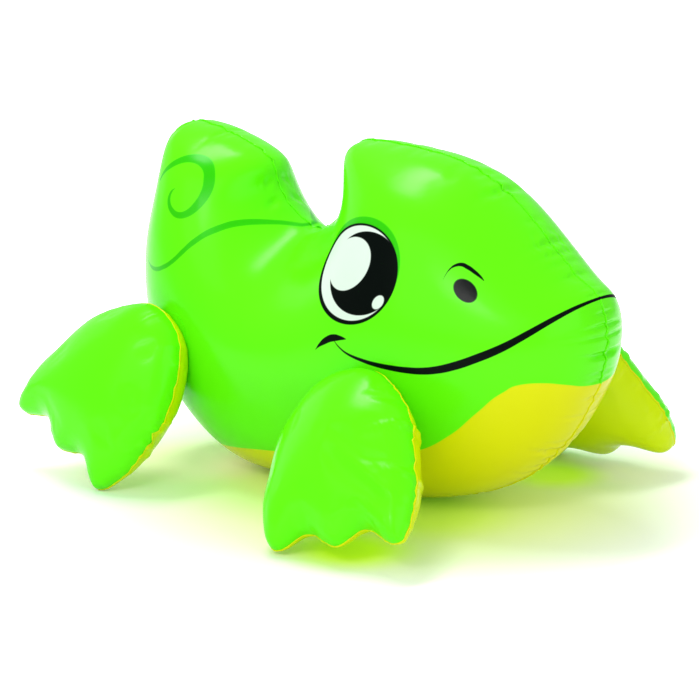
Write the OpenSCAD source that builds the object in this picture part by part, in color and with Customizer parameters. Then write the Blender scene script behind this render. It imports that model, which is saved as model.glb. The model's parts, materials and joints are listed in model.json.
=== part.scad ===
// Inflatable pool toy: a rounded lizard-like animal of welded vinyl film.
// Each panel, weld and valve piece is a separate solid, in the inflated shape.
// Frame: +X to the nose, +Y to the animal's left, +Z up, origin on the floor under the belly.

/* [Body] */
// Distance from the origin back to the rearmost point of the tail
tail_reach = 208; // [190:1:235]
// Distance from the origin forward to the tip of the nose
nose_reach = 176; // [160:1:200]
// Height of the top of the head
crest_height = 250; // [225:1:275]
// Distance from the origin forward to the top of the head
crest_ahead = 9; // [0:1:20]
// Height of the top of the tail
tail_height = 250; // [225:1:275]
// Height of the tip of the nose
nose_height = 142; // [125:1:155]
// Distance from the origin back to the middle of the notch between tail and head
notch_back = 67; // [58:1:78]
// Width of the notch between tail and head
notch_width = 66; // [53:1:78]
// Height of the notch's floor
notch_floor = 184; // [169:1:199]
// How far the notch's fold draws the film in, as a share of the full thickness
notch_pinch = 0.72; // [0.4:0.01:0.8]
// Fullness of the body: a round pillow of this radius would swell to a ball
body_fullness = 67; // [60:1:76]
// Depth by which the floor flattens the belly
belly_flat = 3; // [1:0.5:5]

/* [Flippers] */
// Length of a flipper from its root to its toes
flipper_length = 123; // [105:1:140]
// Width of a flipper at its root
flipper_root = 50; // [40:1:60]
// Width of a flipper at a third of its length
flipper_waist = 98; // [86:1:110]
// Width of a flipper at its toes
flipper_toes = 117; // [103:1:131]
// Depth of the dips between the toes
toe_dip = 11; // [6:0.5:16]
// Slant of the toe line, as rise over width
toe_slant = 0.14; // [0:0.005:0.25]
// Fullness of a flipper: a round pillow of this radius would swell to a ball
flipper_fullness = 16.5; // [12:0.5:20]
// Depth by which a flipper is pressed flat against the body around its weld
flipper_press = 5; // [2.5:0.5:7.5]
// Height of the lowest toe above the floor
toe_clearance = 0.5; // [0.3:0.1:3]
// Distance from the origin forward to the right front flipper's root
front_root = 35; // [20:1:50]
// Angle by which the right front flipper spreads outwards
front_splay = 37; // [30:1:44]
// Angle by which the right front flipper sweeps forwards
front_sweep = 24; // [16:1:32]
// Angle by which the right front flipper turns about the vertical
front_turn = -6; // [-14:1:2]
// Distance from the origin forward to the left front flipper's root
front_left_root = 55; // [42:1:65]
// Angle by which the left front flipper spreads outwards
front_left_splay = 28; // [22:1:34]
// Angle by which the left front flipper sweeps forwards
front_left_sweep = 20; // [12:1:28]
// Angle by which the left front flipper turns about the vertical
front_left_turn = -7; // [-15:1:1]
// Distance from the origin back to the rear flippers' roots
rear_root = 138; // [124:1:150]
// Angle by which the rear flippers spread outwards
rear_splay = 20; // [14:1:27]
// Angle by which the rear flippers sweep backwards
rear_sweep = 35; // [28:1:42]
// Angle by which the rear flippers turn about the vertical
rear_turn = 0; // [-7:1:7]

/* [Film and welds] */
// Thickness of the vinyl film
film = 0.3; // [0.2:0.05:0.5]
// Width of the seam's flange, which lies inside the toy
seam_width = 4; // [2.5:0.5:6]
// Outer radius of the round weld that joins a flipper to the body
weld_radius = 16; // [12:0.5:20]
// Thickness of that weld
weld_thickness = 0.5; // [0.3:0.1:0.8]
// Radius of the air passage through that weld
vent_radius = 5; // [3:0.5:8]

/* [Valve] */
// Distance from the origin back to the valve
valve_back = 48; // [38:1:58]
// Height of the valve
valve_height = 122; // [106:1:136]
// Radius of the valve's flange
flange_radius = 13; // [11:0.5:16]
// Thickness of the valve's flange
flange_thickness = 0.8; // [0.5:0.1:1.2]
// Radius of the air bore in the valve's stem
valve_bore = 4.1; // [3.5:0.1:5]
// Wall of the valve's stem
stem_wall = 1.4; // [1:0.1:2]
// Length of the valve's stem
stem_length = 13; // [11:0.5:16]
// Distance that the stem pulls out of the toy
stem_travel = 7; // [5:0.5:8]
// Length of the tapered plug in the stem's mouth
plug_length = 5; // [3.5:0.5:6]
// Width of the strap that holds the plug
strap_width = 4; // [3:0.5:5]

/* [Fits] */
// Gap between pieces that move past each other
running_gap = 0.3; // [0.2:0.05:0.5]
// Gap between a flipper's film and the weld it turns about
hinge_gap = 0.5; // [0.4:0.05:0.8]
// Gap under a piece that is bonded onto curved film
bond_gap = 0.15; // [0.1:0.05:0.25]

/* [Hidden] */
$fn = 64;

lime = [0.40, 0.93, 0.06];
lemon = [0.86, 0.88, 0.03];
clear_vinyl = [0.86, 0.92, 0.88];

seam_half = film;
weld_stack = bond_gap + weld_thickness + hinge_gap;
weld_sides = 32;

// Valve: heights are measured from the film outwards, along the valve's axis.
stem_radius = valve_bore + stem_wall;
collar_bore = stem_radius + running_gap;
collar_radius = collar_bore + 1.2;
collar_top = flange_thickness + bond_gap + 0.1;
lip_height = 1;
lip_bottom = collar_top + running_gap;
stem_top = lip_bottom + lip_height;
stem_bottom = stem_top - stem_length;
stop_height = 0.8;
stop_radius = collar_radius - 0.5;
collar_bottom = stem_bottom + stop_height + stem_travel + running_gap;
hinge_reach = collar_radius + 1;
hinge_overhang = 0.4;
flap_thickness = 0.5;
flap_radius = valve_bore + 0.5;
plug_bottom = stem_top + running_gap;
plug_ease = 0.15;
plug_tip = valve_bore - 1.3;
cap_radius = valve_bore + 2;
cap_height = 1.3;
strap_height = 1;
tab_length = 2.5;
dish_steps = 5;
notch_rear = -notch_back - notch_width / 2;
notch_front = -notch_back + notch_width / 2;

// Side view of the body's seam, from the tail's rear corner over the back to the nose and under the belly.
body_outline = [
    [-tail_reach + 21, tail_height - 4],
    [-tail_reach + 41, tail_height],
    [notch_rear - 31, tail_height - 10],
    [notch_rear - 8.5, tail_height - 22],
    [notch_rear, notch_floor + 23.5],
    [notch_rear + 19.5, notch_floor + 4.5],
    [notch_front - 24.5, notch_floor + 1],
    [notch_front + 0.5, notch_floor + 22.5],
    [notch_front + 1, crest_height - 13],
    [notch_front + 9, crest_height],
    [crest_ahead, crest_height],
    [crest_ahead + 38, crest_height - 4.5],
    [crest_ahead + 70, crest_height - 14.5],
    [crest_ahead + 98, crest_height - 33],
    [nose_reach - 40.5, nose_height + 48.5],
    [nose_reach - 24, nose_height + 32.5],
    [nose_reach - 7.5, nose_height + 20.5],
    [nose_reach, nose_height],
    [nose_reach - 1, nose_height - 24],
    [nose_reach - 8, nose_height - 47],
    [nose_reach - 28, 61],
    [nose_reach - 59, 30.5],
    [70, 12 - belly_flat],
    [10, 2 - belly_flat],
    [-60, -belly_flat],
    [-128, 11 - belly_flat],
    [-tail_reach + 27, 51.5],
    [-tail_reach + 4, 104],
    [-tail_reach, 161],
    [-tail_reach + 11, tail_height - 42]];
body_corners = [0, 16, 19, 26];
body_columns = 44;
body_rows = 16;

// Flat pattern of a flipper: across, then along from the root, mirrored about its middle line.
flipper_side = [
    [flipper_root / 2, 2],
    [flipper_waist / 2, 35],
    [(flipper_waist + flipper_toes) / 4 + 2, flipper_length * 0.57],
    [flipper_toes / 2, flipper_length - 30],
    [flipper_toes / 2 - 5, flipper_length - 5],
    [flipper_toes / 2 - 15, flipper_length],
    [flipper_toes * 0.19, flipper_length - toe_dip]];
flipper_pattern = concat(
    [[-flipper_root / 2, 2], [0, -6]],
    flipper_side,
    [[0, flipper_length]],
    [for (k = [len(flipper_side) - 1 : -1 : 1]) [-flipper_side[k].x, flipper_side[k].y]]);
flipper_corners = [0, 2, 6, 12];
flipper_columns = 18;
flipper_rows = 12;

// Point on the closed smooth curve through the given points, at a whole or part index.
function on_curve(points, index) =
    let (n = len(points), i = floor(index), u = index - i,
         a = points[(i + n - 1) % n], b = points[i % n],
         c = points[(i + 1) % n], d = points[(i + 2) % n])
    (2 * b + (c - a) * u + (2 * a - 5 * b + 4 * c - d) * u * u + (3 * b - a - 3 * c + d) * u * u * u) / 2;

// Evenly numbered steps from 0 to 1, drawn towards both ends by the given share.
function steps(count, draw) =
    [for (k = [0 : count]) (1 - draw) * k / count + draw * (1 - cos(180 * k / count)) / 2];

// Grid of points that fills a closed outline between its four sides.
function filled(outline, corners, columns, rows, draw) =
    let (last = len(outline), c = corners,
         rear_low = outline[c[3]], front_low = outline[c[2]],
         rear_top = outline[c[0]], front_top = outline[c[1]])
    [for (s = steps(columns, draw))
        let (top = on_curve(outline, c[0] + s * (c[1] - c[0])),
             low = on_curve(outline, c[3] - s * (c[3] - c[2])))
        [for (v = steps(rows, 0.9))
            let (front = on_curve(outline, c[2] - v * (c[2] - c[1])),
                 rear = on_curve(outline, c[3] + v * (last - c[3])))
            (1 - v) * low + v * top + (1 - s) * rear + s * front
                - (1 - s) * ((1 - v) * rear_low + v * rear_top)
                - s * ((1 - v) * front_low + v * front_top)]];

// Straight pieces of a closed outline: start, end and length.
function edges(outline, pieces) =
    let (n = len(outline) * pieces,
         loop = [for (k = [0 : n - 1]) on_curve(outline, k / pieces)])
    [for (k = [0 : n - 1])
        let (a = loop[k], b = loop[(k + 1) % n]) [a, b, norm(b - a)]];

function total(list) = [for (item = list) 1] * list;

// Inflated half thickness over a point of the flat pattern, and 0 outside it.
function swell(point, edge_list, fullness) =
    let (sums = total([for (e = edge_list)
             let (a = e[0] - point, b = e[1] - point,
                  area = a.x * b.y - a.y * b.x,
                  turn = atan2(area, a * b))
             [abs(area) < 1e-9 ? 1e9 : turn * e[2] / area, turn]]))
    abs(sums[1]) < 180 ? 0 : sqrt(360 * fullness / sums[0]);

// The body's fullness at a point, less where the notch draws the film in.
function body_fill(point) =
    let (across = (point.x + notch_back - 5) / 46, up = (point.y - notch_floor - 26) / 48)
    body_fullness * (1 - notch_pinch * exp(-across * across - up * up));

body_edges = edges(body_outline, 3);

// Distance of the body's right or left surface from the middle plane, at a place in the side view.
function body_half(point) = seam_half + swell(point, body_edges, body_fill(point));

// Outward direction of the body's left surface at a place in the side view.
function body_normal(point) =
    let (e = 0.5,
         slope_x = (body_half(point + [e, 0]) - body_half(point - [e, 0])) / (2 * e),
         slope_z = (body_half(point + [0, e]) - body_half(point - [0, e])) / (2 * e),
         way = [-slope_x, 1, -slope_z])
    way / norm(way);

// How far the body curves away below the rim of the valve's flange, where it curves least.
function flange_drop() =
    let (spot = [-valve_back, valve_height], way = body_normal(spot), here = body_half(spot))
    min([for (turn = [0 : 45 : 315])
        let (step = flange_radius * [cos(turn), sin(turn)])
        -[step.x, body_half(spot + step) - here, step.y] * way]);

function on_edge(i, j, columns, rows) = i == 0 || j == 0 || i == columns || j == rows;

// Outward direction of a grid, from the differences of its neighbours.
function outward(grid, i, j) =
    let (m = len(grid) - 1, n = len(grid[0]) - 1,
         along = grid[min(i + 1, m)][j] - grid[max(i - 1, 0)][j],
         up = grid[i][min(j + 1, n)] - grid[i][max(j - 1, 0)],
         raw = cross(along, up))
    raw / norm(raw);

// Order of the grid's edge points, once round.
function rim(columns, rows) = concat(
    [for (i = [0 : columns - 1]) [i, 0]],
    [for (j = [0 : rows - 1]) [columns, j]],
    [for (i = [columns : -1 : 1]) [i, rows]],
    [for (j = [rows : -1 : 1]) [0, j]]);

// Closed shell between an outer and an inner grid of the same size.
module shell_between(outer, inner) {
    m = len(outer) - 1;
    n = len(outer[0]) - 1;
    row = n + 1;
    count = (m + 1) * row;
    loop = rim(m, n);
    rounds = len(loop);
    polyhedron(
        points = concat([for (line = outer) each line], [for (line = inner) each line]),
        faces = concat(
            [for (i = [0 : m - 1]) for (j = [0 : n - 1])
                let (a = i * row + j, b = a + row)
                each [[a, b + 1, a + 1], [a, b, b + 1],
                      [count + a, count + a + 1, count + b + 1], [count + a, count + b + 1, count + b]]],
            [for (k = [0 : rounds - 1])
                let (a = loop[k], b = loop[(k + 1) % rounds], p = a.x * row + a.y, q = b.x * row + b.y)
                each [[p, count + q, q], [p, count + p, count + q]]]));
}

// Place of a grid's edge point in the order once round the edge.
function rim_index(i, j, columns, rows) =
    j == 0 && i < columns ? i
    : i == columns && j < rows ? columns + j
    : j == rows && i > 0 ? 2 * columns + rows - i
    : 2 * (columns + rows) - j;

// Edge of a grid once round, and a loop drawn inwards in the plane with the given normal.
function edge_loop(grid) = [for (k = rim(len(grid) - 1, len(grid[0]) - 1)) grid[k.x][k.y]];
function inset_loop(loop, plane, width) =
    let (n = len(loop))
    [for (k = [0 : n - 1])
        let (way = cross(plane, loop[(k + 1) % n] - loop[(k + n - 1) % n]))
        loop[k] + width * way / norm(way)];

// Grid moved inwards by the film's thickness; its edge stays in the seam's plane.
function thinned(grid, plane) =
    let (m = len(grid) - 1, n = len(grid[0]) - 1, inset = inset_loop(edge_loop(grid), plane, film))
    [for (i = [0 : m]) [for (j = [0 : n])
        on_edge(i, j, m, n) ? inset[rim_index(i, j, m, n)] : grid[i][j] - film * outward(grid, i, j)]];

// The body's right surface, flattened where it lies on the floor.
function body_surface() =
    let (flat = filled(body_outline, body_corners, body_columns, body_rows, 0.5))
    [for (i = [0 : body_columns]) [for (j = [0 : body_rows])
        let (p = flat[i][j], edge = on_edge(i, j, body_columns, body_rows))
        [p.x, edge ? -seam_half : -body_half(p), max(p.y, 0)]]];

function front_set() = [front_root, front_splay, front_sweep, front_turn, toe_slant];
function front_left_set() = [front_left_root, front_left_splay, front_left_sweep, front_left_turn, toe_slant];
function rear_set() = [-rear_root, rear_splay, -rear_sweep, rear_turn, -toe_slant];

function turned_about_z(v, angle) =
    [v.x * cos(angle) - v.y * sin(angle), v.x * sin(angle) + v.y * cos(angle), v.z];

// Directions across a right-hand flipper, along it from the root, and out of its outer face.
function flipper_axes(set) =
    let (down = [0, -sin(set[1]), -cos(set[1])], ahead = [1, 0, 0],
         along = turned_about_z(cos(set[2]) * down + sin(set[2]) * ahead, set[3]),
         across = turned_about_z(cos(set[2]) * ahead - sin(set[2]) * down, set[3]))
    [across, along, cross(along, across)];

function slanted(pattern, slant) =
    [for (p = pattern) [p.x, p.y + slant * p.x * min(max(p.y / flipper_length, 0), 1)]];

function lowest(grid) = min([for (line = grid) for (p = line) p.z]);

// A right-hand flipper: its flat grid, outer and inner surface, place of its weld and its root's place.
function flipper(set) =
    let (axes = flipper_axes(set),
         pattern = slanted(flipper_pattern, set[4]),
         flat = filled(pattern, flipper_corners, flipper_columns, flipper_rows, 0.4),
         edge_list = edges(pattern, 4),
         half = [for (i = [0 : flipper_columns]) [for (j = [0 : flipper_rows])
             seam_half + (on_edge(i, j, flipper_columns, flipper_rows)
                 ? 0 : swell(flat[i][j], edge_list, flipper_fullness))]],
         outer = [for (i = [0 : flipper_columns]) [for (j = [0 : flipper_rows])
             on_flipper(set, axes, flat[i][j], half[i][j])]],
         inner = [for (i = [0 : flipper_columns]) [for (j = [0 : flipper_rows])
             on_flipper(set, axes, flat[i][j], -half[i][j])]],
         lift = toe_clearance - min(lowest(outer), lowest(inner)),
         reach = [for (line = inner) [for (p = line) body_reach([p.x, p.z + lift])]],
         room = [for (i = [0 : flipper_columns]) for (j = [0 : flipper_rows])
             [reach[i][j] > seam_half ? -inner[i][j].y - reach[i][j] : 1e3, i, j]],
         least = min([for (r = room) r[0]]),
         nearest = [for (r = room) if (r[0] == least) r][0],
         weld_point = inner[nearest[1]][nearest[2]],
         shift = [0, least - weld_stack + flipper_press, lift])
    [flat,
     [for (line = outer) [for (p = line) p + shift]],
     [for (i = [0 : flipper_columns]) [for (j = [0 : flipper_rows])
         let (p = inner[i][j] + shift)
         [p.x, reach[i][j] > seam_half ? min(p.y, -reach[i][j] - weld_stack) : p.y, p.z]]],
     [weld_point.x, weld_point.z + lift],
     shift];

function on_flipper(set, axes, p, height) =
    [set[0], 0, 0] + p.x * axes[0] + p.y * axes[1] + height * axes[2];

// The body's half width at a place in the side view, or 0 beyond its length and below it.
function body_reach(point) =
    point.x < -tail_reach || point.x > nose_reach || point.y < 0 ? 0 : body_half(point);

function backwards(grid) = [for (i = [len(grid) - 1 : -1 : 0]) grid[i]];

// Solid ring that runs through a series of loops and back to the first.
module ring_solid(loops) {
    count = len(loops);
    n = len(loops[0]);
    polyhedron(
        points = [for (loop = loops) each loop],
        faces = [for (band = [0 : count - 1]) for (k = [0 : n - 1])
            let (next = (band + 1) % count, after = (k + 1) % n,
                 a = band * n + k, b = band * n + after, c = next * n + k, d = next * n + after)
            each [[a, d, b], [a, c, d]]]);
}

module film_panel(surface, plane) {
    shell_between(surface, thinned(surface, plane));
}

// Air passage across the right-hand weld at a place in the side view.
module vent(place) {
    translate([place.x, 0, place.y])
        rotate([90, 0, 0])
            cylinder(r = vent_radius, h = 2 * body_fullness + flipper_length);
}

// A body panel as seen from the right, for the front flipper that is welded to it.
module side_panel(front) {
    difference() {
        film_panel(body_surface(), [0, -1, 0]);
        vent(flipper(front)[3]);
        vent(flipper(rear_set())[3]);
    }
}

module body_panel_right() {
    color(lime) side_panel(front_set());
}

module body_panel_left() {
    color(lime)
        difference() {
            mirror([0, 1, 0]) side_panel(front_left_set());
            at_valve() cylinder(r = collar_radius + bond_gap, h = 2 * stem_length, center = true);
        }
}

// Welded flange of a seam: a thin band inside the seam's loop.
module seam_band(loop, plane) {
    inset = inset_loop(loop, plane, seam_width);
    ring_solid([for (stop = [[loop, 1], [inset, 1], [inset, -1], [loop, -1]])
        [for (p = stop[0]) p + stop[1] * seam_half * plane]]);
}

module body_seam() {
    flat = filled(body_outline, body_corners, body_columns, body_rows, 0.5);
    color(lime)
        seam_band([for (p = edge_loop(flat)) [p.x, 0, max(p.y, 0)]], [0, -1, 0]);
}

module flipper_outer(set) {
    color(lime) film_panel(flipper(set)[1], flipper_axes(set)[2]);
}

module flipper_inner(set) {
    shape = flipper(set);
    color(lemon)
        difference() {
            film_panel(backwards(shape[2]), -flipper_axes(set)[2]);
            vent(shape[3]);
        }
}

module flipper_seam(set) {
    shape = flipper(set);
    axes = flipper_axes(set);
    color(lemon)
        seam_band([for (p = edge_loop(shape[0])) on_flipper(set, axes, p, 0) + shape[4]], axes[2]);
}

module flipper_weld(set) {
    place = flipper(set)[3];
    middle = (vent_radius + weld_radius) / 2;
    color(lime)
        ring_solid([for (stop = [[vent_radius, 1], [vent_radius, 0], [middle, 0],
                                 [weld_radius, 0], [weld_radius, 1], [middle, 1]])
            [for (k = [0 : weld_sides - 1])
                let (p = place + stop[0] * [cos(360 * k / weld_sides), sin(360 * k / weld_sides)])
                [p.x, -body_half(p) - bond_gap - stop[1] * weld_thickness, p.y]]]);
}

// Places a piece on the left panel, with its +Z out of the toy and its -X upwards.
module at_valve() {
    spot = [-valve_back, valve_height];
    way = body_normal(spot);
    translate([spot.x, body_half(spot), spot.y])
        rotate([0, acos(way.z), atan2(way.y, way.x)])
            children();
}

module valve_base() {
    dish = [for (k = [0 : dish_steps])
        let (r = collar_radius + k / dish_steps * (flange_radius - collar_radius))
        [r, bond_gap - flange_drop() * r * r / flange_radius / flange_radius]];
    color(clear_vinyl)
        at_valve()
            rotate_extrude()
                polygon(concat(
                    [[collar_bore, collar_bottom], [collar_radius, collar_bottom]],
                    dish,
                    [for (k = [dish_steps : -1 : 0]) dish[k] + [0, flange_thickness]],
                    [[collar_radius, collar_top], [collar_bore, collar_top]]));
}

module valve_stem() {
    color(clear_vinyl)
        at_valve()
            difference() {
                union() {
                    translate([0, 0, stem_bottom]) cylinder(r = stem_radius, h = stem_length);
                    translate([0, 0, lip_bottom]) cylinder(r = collar_radius, h = lip_height);
                    translate([0, 0, stem_bottom]) cylinder(r = stop_radius, h = stop_height);
                    translate([-hinge_reach - hinge_overhang, -strap_width / 2, lip_bottom])
                        cube([hinge_reach + hinge_overhang - stem_radius, strap_width, lip_height]);
                }
                translate([0, 0, stem_bottom - 1]) cylinder(r = valve_bore, h = stem_length + 2);
            }
}

module valve_flap() {
    color(clear_vinyl)
        at_valve()
            translate([0, 0, stem_bottom - running_gap - flap_thickness])
                cylinder(r = flap_radius, h = flap_thickness);
}

module valve_plug() {
    color(clear_vinyl)
        at_valve()
            translate([0, 0, plug_bottom]) {
                cylinder(r = cap_radius, h = cap_height);
                translate([0, 0, -plug_length])
                    cylinder(r1 = plug_tip, r2 = valve_bore - plug_ease, h = plug_length);
                translate([-hinge_reach, -strap_width / 2, 0])
                    cube([hinge_reach, strap_width, strap_height]);
                translate([0, -strap_width / 2, 0])
                    cube([cap_radius + tab_length, strap_width, strap_height]);
            }
}

module on_left() {
    mirror([0, 1, 0]) children();
}

body_panel_right();
body_panel_left();
body_seam();
flipper_outer(front_set());  // front_right_outer_panel
flipper_inner(front_set());  // front_right_inner_panel
flipper_seam(front_set());  // front_right_seam
flipper_weld(front_set());  // front_right_weld
on_left() flipper_outer(front_left_set());  // front_left_outer_panel
on_left() flipper_inner(front_left_set());  // front_left_inner_panel
on_left() flipper_seam(front_left_set());  // front_left_seam
on_left() flipper_weld(front_left_set());  // front_left_weld
flipper_outer(rear_set());  // rear_right_outer_panel
flipper_inner(rear_set());  // rear_right_inner_panel
flipper_seam(rear_set());  // rear_right_seam
flipper_weld(rear_set());  // rear_right_weld
on_left() flipper_outer(rear_set());  // rear_left_outer_panel
on_left() flipper_inner(rear_set());  // rear_left_inner_panel
on_left() flipper_seam(rear_set());  // rear_left_seam
on_left() flipper_weld(rear_set());  // rear_left_weld
valve_base();
valve_stem();
valve_flap();
valve_plug();
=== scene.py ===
"""Inflatable pool animal: film skins, seams, printed face, valve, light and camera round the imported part."""

import json
import math

import bmesh
import bpy
import numpy as np
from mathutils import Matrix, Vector


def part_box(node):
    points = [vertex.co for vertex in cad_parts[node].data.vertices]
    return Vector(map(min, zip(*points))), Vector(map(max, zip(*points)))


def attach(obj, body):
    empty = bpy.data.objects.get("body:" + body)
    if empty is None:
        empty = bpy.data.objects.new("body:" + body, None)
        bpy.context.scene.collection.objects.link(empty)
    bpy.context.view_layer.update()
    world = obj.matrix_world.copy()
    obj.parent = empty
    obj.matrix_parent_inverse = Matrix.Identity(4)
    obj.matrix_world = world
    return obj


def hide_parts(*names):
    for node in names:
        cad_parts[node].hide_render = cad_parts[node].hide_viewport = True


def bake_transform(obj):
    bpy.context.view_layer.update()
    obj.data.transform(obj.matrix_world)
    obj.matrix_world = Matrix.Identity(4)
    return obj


bl_info = {
    "name": "Inflatable pool animal",
    "version": (1, 0, 0),
    "blender": (4, 5, 0),
    "location": "View3D > Sidebar > Pool animal",
    "description": "Skins, seams, print and stage of an inflatable pool animal",
    "category": "Object",
}

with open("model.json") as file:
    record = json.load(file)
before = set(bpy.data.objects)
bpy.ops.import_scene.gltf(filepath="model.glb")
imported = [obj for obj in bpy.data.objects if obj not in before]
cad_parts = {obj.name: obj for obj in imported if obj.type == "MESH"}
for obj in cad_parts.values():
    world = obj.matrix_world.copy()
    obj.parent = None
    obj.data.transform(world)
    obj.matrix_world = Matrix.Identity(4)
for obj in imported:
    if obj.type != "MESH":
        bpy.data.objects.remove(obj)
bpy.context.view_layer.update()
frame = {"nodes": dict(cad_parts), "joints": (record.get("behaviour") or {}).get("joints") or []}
PLACES = ("front_right", "front_left", "rear_right", "rear_left")
# Millimetres in a metre.
MM = 1000.0

# The print, in millimetres on the side view (x to the nose, z up). An ellipse is
# middle x, middle z, half length, half width, tilt of its length in degrees.
EYE = (23.7, 172.5, 35.7, 32.7, 6.4)
EYE_WHITE = (24.4, 173.2, 33.7, 30.7, 4.0)
PUPIL = (30.4, 173.8, 30.0, 27.0, 3.0)
GLINT = (17.2, 178.4, 20.1, 16.5, 34.7)
GLINT_SMALL = (48.3, 157.4, 5.3, 3.8, 49.7)
EYE_SHADE = (24.6, 176.4, 35.5, 33.2, 6.0)
NOSTRIL = (105.8, 169.4, 9.3, 5.4, 139.7)
# A printed line is a row of x, z of its middle and its thickness along z.
BROW = ((90.6, 174.6, 0.4), (91.4, 178.9, 1.2), (92.9, 182.3, 1.5), (95.0, 184.4, 1.8), (98.3, 185.3, 2.1),
        (102.7, 183.8, 2.4), (107.4, 181.1, 2.2), (111.4, 178.4, 1.5), (114.6, 175.8, 0.3))
MOUTH = ((15.6, 127.4, 0.5), (20.7, 123.4, 1.0), (27.9, 120.1, 1.5), (38.9, 117.6, 2.3), (48.1, 116.2, 2.9),
         (60.9, 115.2, 3.6), (73.2, 114.9, 4.2), (83.9, 115.4, 4.7), (94.2, 117.2, 5.2), (106.8, 121.2, 5.8),
         (120.0, 127.0, 6.0), (133.5, 134.0, 5.9), (146.0, 142.6, 5.4), (157.9, 152.1, 4.4),
         (168.0, 160.3, 2.8), (174.0, 164.6, 1.4), (180.0, 167.0, 0.8))
CHEEK = ((-0.6, 119.1, 0.2), (3.0, 123.2, 3.0), (7.5, 126.4, 4.9), (13.5, 129.1, 4.9), (20.2, 130.0, 3.0),
         (25.6, 130.0, 0.2))
BACK_LINE = ((-178.0, 156.6, 1.0), (-173.8, 154.0, 1.8), (-168.0, 152.0, 2.6), (-161.9, 152.0, 3.0),
             (-152.0, 155.2, 3.4), (-143.3, 160.4, 4.0), (-136.0, 167.4, 5.0), (-129.1, 174.6, 5.4),
             (-116.1, 184.2, 5.2), (-105.2, 187.9, 4.4), (-90.8, 187.6, 2.8), (-74.5, 184.8, 1.4),
             (-60.0, 183.0, 0.6))
# The belly's upper edge is a row of x and z.
BELLY = ((-215.0, 12.0), (-150.0, 19.0), (-100.0, 26.5), (-62.0, 31.9), (0.0, 39.0), (40.0, 46.0),
         (71.4, 55.5), (96.4, 69.8), (117.4, 88.5), (134.9, 104.3), (145.5, 109.9), (154.7, 110.4),
         (163.9, 108.1), (170.0, 104.5), (180.0, 100.0))
# The tail's curl, clockwise round its middle: share of a turn, distance from the middle, thickness.
CURL_MIDDLE = (-146.0, 209.0)
CURL_START = 172.0
CURL = ((0.0, 27.0, 1.2), (0.04, 25.2, 2.4), (0.11, 22.8, 4.2), (0.197, 21.6, 5.2), (0.314, 20.0, 6.4),
        (0.414, 17.6, 7.0), (0.546, 16.2, 6.4), (0.69, 17.0, 4.6), (0.783, 15.2, 3.8), (0.9, 11.8, 2.8),
        (1.0, 7.0, 0.8))
# Share of the printed black that has no gloss, and the same for the nostril.
INK_MATT = 0.75
NOSTRIL_MATT = 0.3
# Finish of the film and the valve: roughness, mirror level, and how much light the valve lets through.
# Then the fineness and the range of the unevenness in tone and gloss, and the fineness, strength and height
# of ripples.
FILM_ROUGHNESS, VALVE_ROUGHNESS, MIRROR_LEVEL, VALVE_CLEARNESS = 0.22, 0.32, 0.12, 0.25
TONE_FINENESS, TONE_RANGE = 14.0, 0.10
GLOSS_FINENESS, GLOSS_RANGE = 60.0, 0.08
RIPPLE_FINENESS, RIPPLE_STRENGTH, RIPPLE_HEIGHT = 90.0, 0.05, 0.002

# Grids of the films, in columns and rows. The coarse one only tells how wide the body is at a place.
BODY_GRID = (160, 104)
BODY_GRID_COARSE = (40, 24)
FLIPPER_GRID = (56, 56)
# Corners of the grids on the outlines, in shares of the outline's width and height.
BODY_CORNERS = ((0.05, 0.95), (0.985, 0.65), (0.975, 0.36), (0.09, 0.23))
FLIPPER_CORNERS = ((0.3, 0.05), (0.7, 0.05), (0.96, 0.93), (0.04, 0.93))
# How far the grid's lines are drawn towards the outline, along columns and rows.
GRID_DRAW = (0.9, 0.95)
# Steps between two points of a seam's edge, for the grid's sides and for the outline.
SIDE_STEPS = 12
OUTLINE_STEPS = 5
# Places that are worked on at a time.
BATCH = 4000
# Where the notch behind the head draws the body in: middle x and z, reach along x and z, share.
NOTCH = (-0.062, 0.210, 0.046, 0.048, 0.72)

# How strongly a seam is gathered near a few places: shares of the outline's width and height, strength.
# A flipper's width runs from its rear edge to its front edge, and its height from its root to its toes.
BODY_GATHERS = (
    (0.06, 0.98, 1.3), (0.15, 0.98, 0.9), (0.27, 0.88, 0.8), (0.30, 0.79, 0.9), (0.36, 0.74, 1.2),
    (0.46, 0.88, 0.25), (0.48, 1.0, 0.7), (0.59, 1.0, 0.4), (0.74, 0.94, 1.2), (0.85, 0.82, 0.55),
    (0.95, 0.69, 0.8), (1.0, 0.57, 0.75), (0.98, 0.4, 0.75), (0.91, 0.2, 0.75), (0.8, 0.07, 0.6),
    (0.54, 0.0, 0.15), (0.15, 0.1, 0.25), (0.0, 0.64, 0.2))
FLIPPER_GATHERS = (
    (0.5, 0.0, 0.1), (0.85, 0.12, 0.5), (1.0, 0.35, 1.0), (0.97, 0.7, 0.9), (0.9, 1.0, 0.3), (0.5, 1.0, 0.25),
    (0.05, 0.9, 0.1), (0.0, 0.4, 0.1))
# The left front flipper is gathered less.
CALM = {"front_left": 0.6}
BODY_SEED = 11
FLIPPER_SEEDS = {"front": 40, "rear": 50}
# A row of gathers is the sum of this many waves.
WAVES = 24
# A crease starts at this share of a wave, has this greatest height and is this sharp.
CREASE_START, CREASE_MOST, CREASE_SHARPNESS = 0.2, 1.6, 1.3
# How the creases' depth and length vary along a seam: usual share, unevenness, least, most, pitches.
DEPTH_VARIES = (1.0, 0.4, 0.3, 1.6, 5.0)
LENGTH_VARIES = (0.6, 0.25, 0.3, 1.0, 4.0)
FALL_SHARPNESS = 1.5
# The seam itself waves sideways and is drawn in: pitch, and both as shares of a gather's depth.
SEAM_PITCH, SEAM_SIDEWAYS, SEAM_INWARDS = 1.3, 0.5, 0.7
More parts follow.
